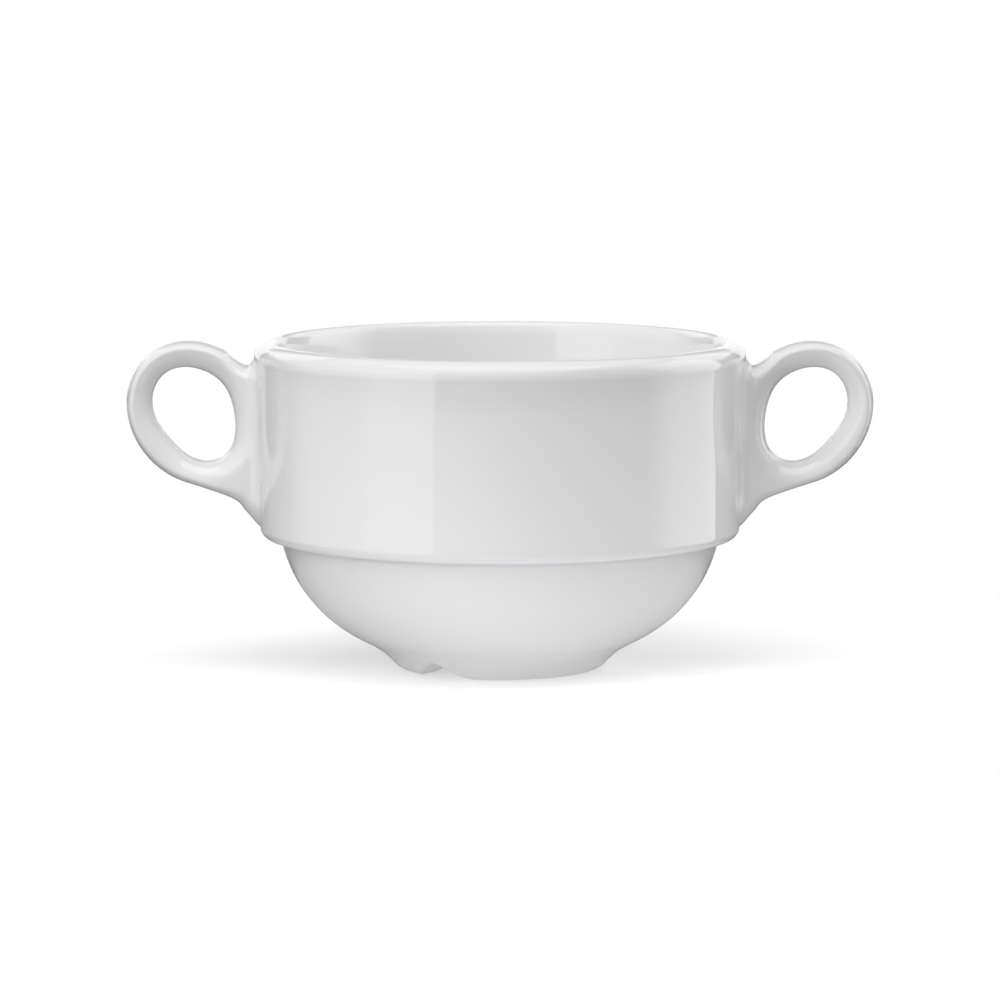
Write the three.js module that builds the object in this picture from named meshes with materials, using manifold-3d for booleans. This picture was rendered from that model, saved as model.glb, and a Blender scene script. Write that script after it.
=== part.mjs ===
// Stacking soup cup in glazed porcelain: a round body on a foot ring, with two ring handles luted to it.
// Millimetres, +Z up. The origin is on the cup's axis, on the surface that the foot stands on.
// +X runs through the right handle and -Y is the front.
import * as THREE from 'three';
import { mergeVertices } from 'three/addons/utils/BufferGeometryUtils.js';
import Module from 'manifold-3d';

const wasm = await Module();
wasm.setup();

// Band and lip
const RIM_RADIUS = 51.2;
const STEP_HEIGHT = 28;
const BAND_HEIGHT = 40.8;
const BAND_DRAFT = THREE.MathUtils.degToRad(1.5);
const BAND_CORNER_ROUND = 2;
const WALL = 4.7;
const LIP_ROUND = 3.4;
const SHOULDER_ROUND = 3.2;

// Lower bowl: it nests inside the rim of the cup below
const NEST_CLEARANCE = 0.8;
const BOWL_CENTRE_RISE = 5.9;
const BOWL_BOTTOM_HEIGHT = 3.4;

// Foot ring and its drain notches
const FOOT_RADIUS = 19;
const FOOT_RING_WIDTH = 3.2;
const FOOT_ROUND = 4.6;
const FOOT_SLANT = THREE.MathUtils.degToRad(40);
const FOOT_RECESS = 3.3;
const NECK_ANGLE = THREE.MathUtils.degToRad(25);
const NOTCH_WIDTH = 14;
const NOTCH_DEPTH = 3.2;
const NOTCH_COUNT = 2;
const NOTCH_AZIMUTH = THREE.MathUtils.degToRad(-36);

// Ring handle: a tilted oval finger hole inside a strap, with a web between the hole and the band
const HOLE_HALF_WIDTH = 7.8;
const HOLE_HALF_LENGTH = 10.2;
const HOLE_TILT = THREE.MathUtils.degToRad(32);
const HOLE_DROP = 15.25;
const WEB_THICKNESS = 4.3;
const STRAP_THICKNESS = 5.7;
const STRAP_WIDTH = 9;
const ROOT_WIDTH = 11;
const ROOT_TOP_DROP = 6.4;
const ROOT_SINK = 6.5;
const TAIL_BEND_REACH = 5.4;
const TAIL_BEND_RISE = 5.4;
const RING_TOP_ANGLE = THREE.MathUtils.degToRad(121);
const RING_BOTTOM_ANGLE = THREE.MathUtils.degToRad(290);

// Luting seam: the slip between a handle's root and the band
const SEAM_THICKNESS = 0.9;
const SEAM_FLARE = 1;
const SEAT_GAP = 0.3;

// Finish
const PORCELAIN_WHITE = 0xeff1f2;
const SLIP_WHITE = 0xe8eaec;
const GLAZE_ROUGHNESS = 0.08;

// Fineness of the facets
const ROUND_SIDES = 64;
const ROUNDING_STEPS = 4;
const NECK_STEPS = 4;
const BOWL_STEPS = 9;
const LIP_STEPS = 5;
const SHOULDER_STEPS = 6;
const RING_STEPS = 26;
const ROOT_STEPS = 20;
const SECTION_SIDES = 16;
const NOTCH_STEPS = 16;
const MERGE_TOLERANCE = 1e-4;

// Sizes worked out from the ones above
const RIM_HEIGHT = STEP_HEIGHT + BAND_HEIGHT;
const BOWL_SEAT_RADIUS = RIM_RADIUS - WALL - NEST_CLEARANCE;
const BOWL_CENTRE_HEIGHT = STEP_HEIGHT + BOWL_CENTRE_RISE;
const BOWL_ARC = BOWL_CENTRE_HEIGHT - BOWL_BOTTOM_HEIGHT;
const BOWL_CENTRE_RADIUS = BOWL_SEAT_RADIUS - Math.sqrt(BOWL_ARC ** 2 - BOWL_CENTRE_RISE ** 2);
const HOLE_HEIGHT = RIM_HEIGHT - HOLE_DROP;

/** Outside radius of the band at a height, along its straight drafted side. */
function bandRadius(height) {
  return RIM_RADIUS - (RIM_HEIGHT - height) * Math.tan(BAND_DRAFT);
}

/** Points of one curve without its first point, to follow the points already in an outline. */
function further(curve, steps) {
  return curve.getPoints(steps).slice(1);
}

/** Arc in the outline plane, from one angle to another about a centre. */
function arc(x, y, radius, from, to) {
  return new THREE.EllipseCurve(x, y, radius, radius, from, to, to < from);
}

/** Arc of the bowl between two angles from straight down. */
function bowlCurve(radius, from, to) {
  const low = -Math.PI / 2;
  return arc(BOWL_CENTRE_RADIUS, BOWL_CENTRE_HEIGHT, radius, low + from, low + to);
}

/** Point at an angle from straight down on an arc of the bowl, with the arc's direction there. */
function onBowl(radius, angle) {
  const sine = Math.sin(angle);
  const cosine = Math.cos(angle);
  return {
    point: new THREE.Vector2(BOWL_CENTRE_RADIUS + radius * sine, BOWL_CENTRE_HEIGHT - radius * cosine),
    along: new THREE.Vector2(cosine, sine),
  };
}

/** Curve between two points that leaves and arrives along the given directions. */
function easedCurve(start, startDirection, end, endDirection) {
  const reach = start.distanceTo(end) / 3;
  return new THREE.CubicBezierCurve(
    start,
    start.clone().addScaledVector(startDirection, reach),
    end.clone().addScaledVector(endDirection, -reach),
    end,
  );
}

/** Outline of the foot from the middle of its recess to the neck, where the bowl begins. */
function footOutline() {
  const ringInside = FOOT_RADIUS - FOOT_RING_WIDTH;
  const rounding = arc(FOOT_RADIUS, FOOT_ROUND, FOOT_ROUND, -Math.PI / 2, -FOOT_SLANT);
  const neckStart = rounding.getPoint(1);
  const slant = new THREE.Vector2(Math.sin(FOOT_SLANT), Math.cos(FOOT_SLANT));
  const bowl = onBowl(BOWL_ARC, NECK_ANGLE);
  return [
    new THREE.Vector2(0, FOOT_RECESS),
    new THREE.Vector2(ringInside - FOOT_RECESS, FOOT_RECESS),
    new THREE.Vector2(ringInside, 0),
    new THREE.Vector2(FOOT_RADIUS, 0),
    ...further(rounding, ROUNDING_STEPS),
    ...further(easedCurve(neckStart, slant, bowl.point, bowl.along), NECK_STEPS),
  ];
}

/** Outline of the outside from the neck to the crest of the lip. */
function outsideOutline() {
  const seatAngle = Math.acos(BOWL_CENTRE_RISE / BOWL_ARC);
  const cornerHeight = STEP_HEIGHT + BAND_CORNER_ROUND;
  const cornerRadius = bandRadius(cornerHeight) - BAND_CORNER_ROUND;
  const lipHeight = RIM_HEIGHT - LIP_ROUND;
  const crestRadius = bandRadius(lipHeight) - LIP_ROUND;
  return [
    ...further(bowlCurve(BOWL_ARC, NECK_ANGLE, seatAngle), BOWL_STEPS),
    new THREE.Vector2(cornerRadius, STEP_HEIGHT),
    ...further(arc(cornerRadius, cornerHeight, BAND_CORNER_ROUND, -Math.PI / 2, 0), ROUNDING_STEPS),
    ...arc(crestRadius, lipHeight, LIP_ROUND, 0, Math.PI / 2).getPoints(LIP_STEPS),
  ];
}

/** Outline of the inside from the crest of the lip to the middle of the floor. */
function insideOutline() {
  const innerRound = WALL - LIP_ROUND;
  const crestRadius = bandRadius(RIM_HEIGHT - LIP_ROUND) - LIP_ROUND;
  const insideArc = BOWL_ARC - WALL;
  const shoulderHeight = STEP_HEIGHT + WALL;
  const shoulderTop = new THREE.Vector2(
    bandRadius(shoulderHeight + SHOULDER_ROUND) - WALL, shoulderHeight + SHOULDER_ROUND);
  const shoulderAngle = Math.acos((BOWL_CENTRE_HEIGHT - shoulderHeight + SHOULDER_ROUND) / insideArc);
  const bowl = onBowl(insideArc, shoulderAngle);
  const down = new THREE.Vector2(0, -1);
  return [
    ...further(arc(crestRadius, RIM_HEIGHT - innerRound, innerRound, Math.PI / 2, Math.PI), ROUNDING_STEPS),
    shoulderTop,
    ...further(easedCurve(shoulderTop, down, bowl.point, bowl.along.clone().negate()), SHOULDER_STEPS),
    ...further(bowlCurve(insideArc, shoulderAngle, 0), BOWL_STEPS),
    new THREE.Vector2(0, BOWL_CENTRE_HEIGHT - insideArc),
  ];
}

/** Solid of revolution about +Z from an outline that starts and ends on the axis. */
function revolved(outline) {
  return new THREE.LatheGeometry(outline, ROUND_SIDES).rotateX(Math.PI / 2);
}

/** Closed solid for joins and cuts, from a geometry whose corners are merged. */
function solidFrom(geometry) {
  const bare = geometry.clone();
  bare.deleteAttribute('normal');
  bare.deleteAttribute('uv');
  const merged = mergeVertices(bare, MERGE_TOLERANCE);
  const corners = Array.from(merged.index.array);
  const triangles = [];
  for (let i = 0; i < corners.length; i += 3) {
    const [a, b, c] = corners.slice(i, i + 3);
    if (a !== b && b !== c && c !== a) {
      triangles.push(a, b, c);
    }
  }
  return new wasm.Manifold(new wasm.Mesh({
    numProp: 3,
    vertProperties: new Float32Array(merged.attributes.position.array),
    triVerts: new Uint32Array(triangles),
  }));
}

/** Geometry of a solid, with its corners shared. */
function geometryFrom(solid) {
  const mesh = solid.getMesh();
  const geometry = new THREE.BufferGeometry();
  geometry.setAttribute('position', new THREE.BufferAttribute(mesh.vertProperties, 3));
  geometry.setIndex(new THREE.BufferAttribute(mesh.triVerts, 1));
  geometry.computeVertexNormals();
  return geometry;
}

/** Bar of bell-shaped section that cuts one drain notch across the foot ring, away from the axis. */
function notchCutter(azimuth) {
  const section = new THREE.Shape();
  section.moveTo(-NOTCH_WIDTH / 2, -NOTCH_DEPTH);
  for (let i = 0; i <= NOTCH_STEPS; i += 1) {
    const share = i / NOTCH_STEPS;
    const height = (NOTCH_DEPTH / 2) * (1 - Math.cos(2 * Math.PI * share));
    section.lineTo(NOTCH_WIDTH * (share - 0.5), height);
  }
  section.lineTo(NOTCH_WIDTH / 2, -NOTCH_DEPTH);
  const inner = FOOT_RADIUS - FOOT_RING_WIDTH - 2 * FOOT_RECESS;
  const outer = FOOT_RADIUS + 2 * FOOT_ROUND;
  const bar = new THREE.ExtrudeGeometry(section, { depth: outer - inner, bevelEnabled: false });
  bar.translate(0, 0, inner);
  return bar.rotateX(Math.PI / 2).rotateZ(azimuth);
}

/** The body: one shell with lip, band, step, bowl and foot ring, drained through notches in the ring. */
function cupBody() {
  const outline = [...footOutline(), ...outsideOutline(), ...insideOutline()];
  let body = solidFrom(revolved(outline));
  for (let i = 0; i < NOTCH_COUNT; i += 1) {
    const azimuth = NOTCH_AZIMUTH + (2 * Math.PI * i) / NOTCH_COUNT;
    body = body.subtract(solidFrom(notchCutter(azimuth)));
  }
  return geometryFrom(body);
}

/** Solid that fills the band out to a distance from its outside, to cut what is seated on the band. */
function bandFill(distance) {
  const low = STEP_HEIGHT - BAND_CORNER_ROUND - TAIL_BEND_RISE;
  const high = RIM_HEIGHT + STRAP_THICKNESS;
  return solidFrom(revolved([
    new THREE.Vector2(0, low),
    new THREE.Vector2(bandRadius(low) + distance, low),
    new THREE.Vector2(bandRadius(high) + distance, high),
    new THREE.Vector2(0, high),
  ]));
}

/** Half of the finger hole's span along X, for the tilted oval. */
function holeHalfSpan() {
  return Math.hypot(HOLE_HALF_WIDTH * Math.cos(HOLE_TILT), HOLE_HALF_LENGTH * Math.sin(HOLE_TILT));
}

/** Point of the finger hole's edge whose normal, away from the hole's middle, has the given angle. */
function holeEdge(normalAngle) {
  const turned = normalAngle + HOLE_TILT;
  const parameter = Math.atan2(HOLE_HALF_LENGTH * Math.sin(turned), HOLE_HALF_WIDTH * Math.cos(turned));
  const across = HOLE_HALF_WIDTH * Math.cos(parameter);
  const along = HOLE_HALF_LENGTH * Math.sin(parameter);
  const middle = bandRadius(HOLE_HEIGHT) + WEB_THICKNESS + holeHalfSpan();
  return new THREE.Vector2(
    middle + across * Math.cos(HOLE_TILT) + along * Math.sin(HOLE_TILT),
    HOLE_HEIGHT - across * Math.sin(HOLE_TILT) + along * Math.cos(HOLE_TILT),
  );
}

/** Point of the strap's outer side, straight across the strap from the hole's edge. */
function strapEdge(normalAngle) {
  const out = new THREE.Vector2(Math.cos(normalAngle), Math.sin(normalAngle));
  return holeEdge(normalAngle).addScaledVector(out, STRAP_THICKNESS);
}

/** Outer side of the root, from the top of the ring down through the band and out along the pointed tail. */
function rootCurve() {
  const topHeight = RIM_HEIGHT - ROOT_TOP_DROP;
  const tailHeight = STEP_HEIGHT + BAND_CORNER_ROUND;
  const sunk = bandRadius(STEP_HEIGHT) - ROOT_SINK;
  return new THREE.SplineCurve([
    strapEdge(RING_TOP_ANGLE),
    new THREE.Vector2(bandRadius(topHeight), topHeight),
    new THREE.Vector2(sunk, topHeight - ROOT_SINK),
    new THREE.Vector2(sunk, tailHeight + ROOT_SINK),
    new THREE.Vector2(bandRadius(tailHeight), tailHeight),
    new THREE.Vector2(bandRadius(tailHeight) + TAIL_BEND_REACH, tailHeight + TAIL_BEND_RISE),
    strapEdge(RING_BOTTOM_ANGLE),
  ]);
}

/** Sections round the handle: the hole's edge, the outer edge and the width along Y at each. */
function handleSections() {
  const sections = [];
  const ringTurn = RING_TOP_ANGLE - RING_BOTTOM_ANGLE + 2 * Math.PI;
  for (let i = 0; i < RING_STEPS; i += 1) {
    const angle = RING_BOTTOM_ANGLE + (ringTurn * i) / RING_STEPS;
    sections.push({ inner: holeEdge(angle), outer: strapEdge(angle), width: STRAP_WIDTH });
  }
  const root = rootCurve();
  for (let i = 0; i < ROOT_STEPS; i += 1) {
    const share = i / ROOT_STEPS;
    const angle = THREE.MathUtils.lerp(RING_TOP_ANGLE, RING_BOTTOM_ANGLE, share);
    const swell = Math.sin(Math.PI * share) ** 2;
    sections.push({
      inner: holeEdge(angle),
      outer: root.getPoint(share),
      width: THREE.MathUtils.lerp(STRAP_WIDTH, ROOT_WIDTH, swell),
    });
  }
  return sections;
}

/** Whole ring of one handle with its root running into the band, swollen outwards by a flare. */
function handleRing(flare) {
  const sections = handleSections();
  const corners = [];
  for (const { inner, outer, width } of sections) {
    const direction = outer.clone().sub(inner).normalize();
    const middle = inner.clone().add(outer).multiplyScalar(0.5);
    const halfDepth = inner.distanceTo(outer) / 2 + flare;
    for (let j = 0; j < SECTION_SIDES; j += 1) {
      const turn = (2 * Math.PI * j) / SECTION_SIDES;
      const depth = halfDepth * Math.cos(turn);
      corners.push(
        middle.x + direction.x * depth,
        (width / 2 + flare) * Math.sin(turn),
        middle.y + direction.y * depth,
      );
    }
  }
  const index = [];
  for (let i = 0; i < sections.length; i += 1) {
    const next = (i + 1) % sections.length;
    for (let j = 0; j < SECTION_SIDES; j += 1) {
      const beside = (j + 1) % SECTION_SIDES;
      const a = i * SECTION_SIDES + j;
      const b = i * SECTION_SIDES + beside;
      const c = next * SECTION_SIDES + beside;
      const d = next * SECTION_SIDES + j;
      index.push(a, b, c, a, c, d);
    }
  }
  const ring = new THREE.BufferGeometry();
  ring.setAttribute('position', new THREE.Float32BufferAttribute(corners, 3));
  ring.setIndex(index);
  return solidFrom(ring);
}

/** Slip between the band and a handle's root, a curved pad that stands a little proud of the root. */
function lutingSeam() {
  const pad = handleRing(SEAM_FLARE).intersect(bandFill(SEAT_GAP + SEAM_THICKNESS));
  return geometryFrom(pad.subtract(bandFill(SEAT_GAP)));
}

/** One ring handle, cut to sit on its seam. */
function ringHandle() {
  return geometryFrom(handleRing(0).subtract(bandFill(2 * SEAT_GAP + SEAM_THICKNESS)));
}

/** Mesh of one piece in glazed porcelain. */
function piece(name, geometry, color) {
  const material = new THREE.MeshStandardMaterial({ color, roughness: GLAZE_ROUGHNESS, metalness: 0 });
  const mesh = new THREE.Mesh(geometry, material);
  mesh.name = name;
  return mesh;
}

/** One side of the cup: a handle and its seam, turned about the cup's axis. */
function handleSide(side, turn) {
  const group = new THREE.Group();
  group.add(piece(`${side}_handle`, ringHandle(), PORCELAIN_WHITE));
  group.add(piece(`${side}_luting_seam`, lutingSeam(), SLIP_WHITE));
  group.rotation.z = turn;
  return group;
}

const soupCup = new THREE.Group();
soupCup.add(piece('cup_body', cupBody(), PORCELAIN_WHITE));
soupCup.add(handleSide('right', 0));
soupCup.add(handleSide('left', Math.PI));

export default soupCup;
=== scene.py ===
"""Stacking soup cup in white glazed porcelain, with two ring handles, on a pale studio floor.

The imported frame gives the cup's height and rim, and the classes below model the fired surface over it.
Sizes are millimetres in the cup's own frame: +Z up, +X through the right handle, -Y to the front.
"""

import logging
import math
from dataclasses import dataclass
from enum import Enum

import bpy
import numpy as np
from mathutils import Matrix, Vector


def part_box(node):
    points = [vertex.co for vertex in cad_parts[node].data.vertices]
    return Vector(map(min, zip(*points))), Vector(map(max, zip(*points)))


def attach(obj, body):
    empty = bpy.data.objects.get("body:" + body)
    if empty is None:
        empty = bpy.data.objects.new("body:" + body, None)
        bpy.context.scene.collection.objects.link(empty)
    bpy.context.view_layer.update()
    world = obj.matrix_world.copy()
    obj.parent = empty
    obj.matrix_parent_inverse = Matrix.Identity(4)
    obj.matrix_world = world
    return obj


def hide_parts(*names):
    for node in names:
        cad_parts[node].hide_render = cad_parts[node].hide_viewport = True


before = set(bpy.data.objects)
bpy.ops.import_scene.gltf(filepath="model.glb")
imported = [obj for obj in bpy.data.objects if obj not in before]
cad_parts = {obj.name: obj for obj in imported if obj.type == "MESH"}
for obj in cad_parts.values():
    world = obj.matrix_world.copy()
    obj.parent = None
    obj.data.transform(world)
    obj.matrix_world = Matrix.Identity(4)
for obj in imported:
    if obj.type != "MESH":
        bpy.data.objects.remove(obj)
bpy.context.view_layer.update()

MM = 0.001

# How far the fired lip rolls out beyond the straight wall of the frame, in millimetres
LIP_ROLL = 0.2

# Bend of the surface, in 1/mm, where the glaze starts to pool, greyed there as painted shade, or to
# thin, and where it does so fully
POOL_AND_SHADE_BEND = (0.02, 0.2)
THINNING_BEND = (0.08, 0.35)
GLAZE_FLOW_PASSES = 6

# Fineness of the handle: edge points for each station, trial points on a section, passes that settle the
# fillet on the round wall, and how much closer the points stand at the wall
EDGE_FINENESS = 12
SECTION_FINENESS = 161
FILLET_PASSES = 10
WALL_CROWDING = 3.0

# Distance in metres within which doubles are merged, a distance in millimetres that counts as none, and
# what is too small to divide by or to count
MERGE_DISTANCE = 1e-7
NO_DISTANCE = 1e-6
TINY = 1e-9

# Places of the colour sockets on a Mix node, whose names are shared with the number sockets
MIX_FIRST = 6
MIX_SECOND = 7
MIX_RESULT = 2

log = logging.getLogger("soup_cup")
Point = tuple[float, float]
Edge = tuple[np.ndarray, np.ndarray]


class Side(Enum):
    """The two sides that carry a handle, by their turn about the cup's axis."""

    RIGHT = 0.0
    LEFT = math.pi

    @property
    def word(self) -> str:
        """Name of the side as the nodes use it."""
        return self.name.lower()


def linear_colour(hex_colour: str) -> tuple[float, float, float, float]:
    """Turns an sRGB hex colour into the linear values that shader sockets take.

    Args:
        hex_colour: colour such as "#F0F1F1".

    Returns:
        Red, green, blue and alpha, linear.
    """
    channels = [int(hex_colour[i:i + 2], 16) / 255 for i in (1, 3, 5)]
    linear = [c / 12.92 if c <= 0.04045 else ((c + 0.055) / 1.055) ** 2.4 for c in channels]
    return (linear[0], linear[1], linear[2], 1.0)


def add_node(tree: bpy.types.NodeTree, kind: str, sockets: dict[str | int, object] | None = None,
             **settings: object) -> bpy.types.Node:
    """Adds a node with its settings, and fills or links its input sockets.

    Args:
        tree: node tree that takes the node.
        kind: node type, such as "ShaderNodeTexNoise".
        sockets: input name or place, with a constant or the output socket to link from.
        **settings: properties of the node.

    Returns:
        The new node.
    """
    node = tree.nodes.new(kind)
    for name, value in settings.items():
        setattr(node, name, value)
    for name, value in (sockets or {}).items():
        if isinstance(value, bpy.types.NodeSocket):
            tree.links.new(value, node.inputs[name])
        else:
            node.inputs[name].default_value = value
    return node


def empty_material(name: str) -> bpy.types.Material:
    """Makes a node material with nothing in its tree.

    Args:
        name: the material's name.

    Returns:
        The material.
    """
    material = bpy.data.materials.new(name)
    material.use_nodes = True
    material.node_tree.nodes.clear()
    return material


def smooth_step(values: np.ndarray, low: float, high: float) -> np.ndarray:
    """Rises smoothly from 0 at low to 1 at high."""
    share = np.clip((values - low) / (high - low), 0.0, 1.0)
    return share * share * (3.0 - 2.0 * share)


def vertex_places(mesh: bpy.types.Mesh) -> np.ndarray:
    """Reads the vertices of a mesh.

    Args:
        mesh: the mesh.

    Returns:
        One row of X, Y and Z in millimetres for each vertex.
    """
    places = np.empty(len(mesh.vertices) * 3)
    mesh.vertices.foreach_get("co", places)
    return places.reshape(-1, 3) / MM


def move_vertices(mesh: bpy.types.Mesh, places: np.ndarray) -> None:
    """Puts the vertices of a mesh at places given in millimetres."""
    mesh.vertices.foreach_set("co", (places * MM).ravel())
    mesh.update()


def face_outwards() -> None:
    """Merges doubles on the active piece and points all its faces outwards."""
    bpy.ops.object.mode_set(mode="EDIT")
    bpy.ops.mesh.select_all(action="SELECT")
    bpy.ops.mesh.remove_doubles(threshold=MERGE_DISTANCE)
    bpy.ops.mesh.normals_make_consistent(inside=False)
    bpy.ops.object.mode_set(mode="OBJECT")


def subdivide(piece: bpy.types.Object, levels: int) -> None:
    """Rounds the active piece with a subdivision surface and applies it.

    Args:
        piece: the active object.
        levels: how often each face is split.
    """
    modifier = piece.modifiers.new("fired_surface", "SUBSURF")
    modifier.levels = levels
    modifier.render_levels = levels
    bpy.ops.object.modifier_apply(modifier=modifier.name)


def mark_glaze_depth_and_shade(piece: bpy.types.Object) -> None:
    """Writes where a flowing glaze pools, greyed there as painted shade, and where it thins, from how
    the surface bends.

    Args:
        piece: object whose mesh gets the point attributes glaze_pool_and_shade and glaze_thin, from 0 to
            1; the first marks pooled glaze and painted shade in the hollows.
    """
    mesh = piece.data
    places = vertex_places(mesh)
    normals = np.empty(len(mesh.vertices) * 3)
    mesh.vertices.foreach_get("normal", normals)
    normals = normals.reshape(-1, 3)
    ends = np.empty(len(mesh.edges) * 2, dtype=np.int32)
    mesh.edges.foreach_get("vertices", ends)
    first, second = ends.reshape(-1, 2).T
    span = places[second] - places[first]
    length = np.maximum((span ** 2).sum(axis=1), TINY)
    rise_first = (span * normals[first]).sum(axis=1) / length
    rise_second = -(span * normals[second]).sum(axis=1) / length
    total = len(places)
    count = np.bincount(first, minlength=total) + np.bincount(second, minlength=total)
    bend = (np.bincount(first, rise_first, total) + np.bincount(second, rise_second, total)) / count
    for _ in range(GLAZE_FLOW_PASSES):
        spread = np.bincount(first, bend[second], total) + np.bincount(second, bend[first], total)
        bend = (bend + spread / count) / 2
    # The pool mask is partly the glaze's real bluish pooling and partly painted shade, greying hollows
    # such as the neck and the step.
    glaze_and_shade_masks = {
        "glaze_pool_and_shade": smooth_step(bend, *POOL_AND_SHADE_BEND),
        "glaze_thin": smooth_step(-bend, *THINNING_BEND),
    }
    for name, values in glaze_and_shade_masks.items():
        attribute = mesh.attributes.new(name, "FLOAT", "POINT")
        attribute.data.foreach_set("value", values.astype(np.float32))


@dataclass(frozen=True)
class GlazedPorcelain:
    """Hard porcelain, cast in a mould and fired under a clear glaze.

    The eye gets a neutral white body under a glassy skin. Long ripples in the glaze bend the
    reflections, the glaze pools a little bluish in the corners, where a darker grey is painted shade,
    and it thins to a drier white over tight edges.
    """

    body: str = "#F1F1F1"
    cloudy: str = "#EEEEEF"
    # Grey of pooled glaze: a real bluish tint, darkened as painted shade in the hollows
    pooled_and_shaded: str = "#D9DBE0"
    thin: str = "#F2F2F0"
    ior: float = 1.52
    roughness: float = 0.045
    cloud_mm: float = 34.0
    ripple_mm: float = 22.0
    ripple_height_mm: float = 0.03
    peel_mm: float = 1.8
    peel_height_mm: float = 0.0016

    def material(self) -> bpy.types.Material:
        """Builds the glazed porcelain.

        Returns:
            The material, patterned on Object coordinates and on the glaze depth of each point, with
            painted shade where the glaze pools.
        """
        material = empty_material("glazed_porcelain")
        tree = material.node_tree
        place = add_node(tree, "ShaderNodeTexCoord").outputs["Object"]
        clouds = add_node(tree, "ShaderNodeTexNoise", {
            "Vector": place, "Scale": 1 / (self.cloud_mm * MM), "Detail": 2.0})
        tint = add_node(tree, "ShaderNodeMix", {
            "Factor": clouds.outputs["Fac"], MIX_FIRST: linear_colour(self.body),
            MIX_SECOND: linear_colour(self.cloudy)}, data_type="RGBA")
        # The pooled grey paints shade into hollows such as the neck and the step
        for depth, colour in (("glaze_thin", self.thin), ("glaze_pool_and_shade", self.pooled_and_shaded)):
            share = add_node(tree, "ShaderNodeAttribute", attribute_name=depth)
            tint = add_node(tree, "ShaderNodeMix", {
                "Factor": share.outputs["Fac"], MIX_FIRST: tint.outputs[MIX_RESULT],
                MIX_SECOND: linear_colour(colour)}, data_type="RGBA")
        ripples = add_node(tree, "ShaderNodeTexNoise", {
            "Vector": place, "Scale": 1 / (self.ripple_mm * MM), "Detail": 1.0})
        waves = add_node(tree, "ShaderNodeBump", {
            "Height": ripples.outputs["Fac"], "Distance": self.ripple_height_mm * MM})
        peel = add_node(tree, "ShaderNodeTexNoise", {
            "Vector": place, "Scale": 1 / (self.peel_mm * MM), "Detail": 1.0})
        skin = add_node(tree, "ShaderNodeBump", {
            "Height": peel.outputs["Fac"], "Distance": self.peel_height_mm * MM,
            "Normal": waves.outputs["Normal"]})
        glaze = add_node(tree, "ShaderNodeBsdfPrincipled", {
            "Base Color": tint.outputs[MIX_RESULT], "Roughness": self.roughness, "IOR": self.ior,
            "Normal": skin.outputs["Normal"]})
        add_node(tree, "ShaderNodeOutputMaterial", {"Surface": glaze.outputs["BSDF"]})
        return material


@dataclass(frozen=True)
class GroundPorcelain:
    """Bare porcelain, wiped free of glaze and ground flat where the foot stands.

    The eye gets a dry, faintly warm white with a fine grit and grey rub marks.
    """

    body: str = "#E6E3DD"
    rubbed: str = "#C9C7C3"
    roughness: float = 0.7
    grit_mm: float = 0.35
    grit_height_mm: float = 0.02
    rub_mm: float = 3.0

    def material(self) -> bpy.types.Material:
        """Builds the ground foot ring's finish.

        Returns:
            The material, patterned on Object coordinates.
        """
        material = empty_material("ground_bare_porcelain")
        tree = material.node_tree
        place = add_node(tree, "ShaderNodeTexCoord").outputs["Object"]
        rub = add_node(tree, "ShaderNodeTexNoise", {
            "Vector": place, "Scale": 1 / (self.rub_mm * MM), "Detail": 6.0})
        tint = add_node(tree, "ShaderNodeMix", {
            "Factor": rub.outputs["Fac"], MIX_FIRST: linear_colour(self.body),
            MIX_SECOND: linear_colour(self.rubbed)}, data_type="RGBA")
        grit = add_node(tree, "ShaderNodeTexNoise", {
            "Vector": place, "Scale": 1 / (self.grit_mm * MM), "Detail": 3.0})
        skin = add_node(tree, "ShaderNodeBump", {
            "Height": grit.outputs["Fac"], "Distance": self.grit_height_mm * MM})
        bare = add_node(tree, "ShaderNodeBsdfPrincipled", {
            "Base Color": tint.outputs[MIX_RESULT], "Roughness": self.roughness,
            "Normal": skin.outputs["Normal"]})
        add_node(tree, "ShaderNodeOutputMaterial", {"Surface": bare.outputs["BSDF"]})
        return material


class Outline:
    """Half section of a turned piece, as a run of points of radius and height in millimetres."""

    def __init__(self, start: Point) -> None:
        """Starts the outline at a point."""
        self.points: list[Point] = [start]

    def line(self, end: Point, steps: int) -> None:
        """Goes straight to a point in equal steps.

        Args:
            end: the last point.
            steps: how many points follow the start.
        """
        start = self.points[-1]
        for i in range(1, steps + 1):
            share = i / steps
            self.points.append((
                start[0] + (end[0] - start[0]) * share, start[1] + (end[1] - start[1]) * share))

    def arc(self, centre: Point, radius: float, start_deg: float, end_deg: float, steps: int) -> None:
        """Goes round a centre, and first to the arc's start if the outline isn't there yet.

        Args:
            centre: radius and height of the arc's centre.
            radius: the arc's own radius.
            start_deg: angle where it starts, from straight outwards.
            end_deg: angle where it ends.
            steps: how many points follow the start.
        """
        for i in range(steps + 1):
            angle = math.radians(start_deg + (end_deg - start_deg) * i / steps)
            point = (centre[0] + radius * math.cos(angle), centre[1] + radius * math.sin(angle))
            if math.dist(point, self.points[-1]) > NO_DISTANCE:
                self.points.append(point)

    def ease(self, leaving_deg: float, end: Point, arriving_deg: float, steps: int) -> None:
        """Follows a smooth curve that leaves and arrives in given directions.

        Args:
            leaving_deg: direction at the start, as an angle from straight outwards.
            end: the last point.
            arriving_deg: direction at the end.
            steps: how many points follow the start.
        """
        start = np.array(self.points[-1])
        finish = np.array(end)
        reach = np.linalg.norm(finish - start) / 3
        out, back = math.radians(leaving_deg), math.radians(arriving_deg)
        leaving = start + reach * np.array([math.cos(out), math.sin(out)])
        arriving = finish - reach * np.array([math.cos(back), math.sin(back)])
        for i in range(1, steps + 1):
            t = i / steps
            point = ((1 - t) ** 3 * start + 3 * t * (1 - t) ** 2 * leaving
                     + 3 * t ** 2 * (1 - t) * arriving + t ** 3 * finish)
            self.points.append((float(point[0]), float(point[1])))


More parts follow.
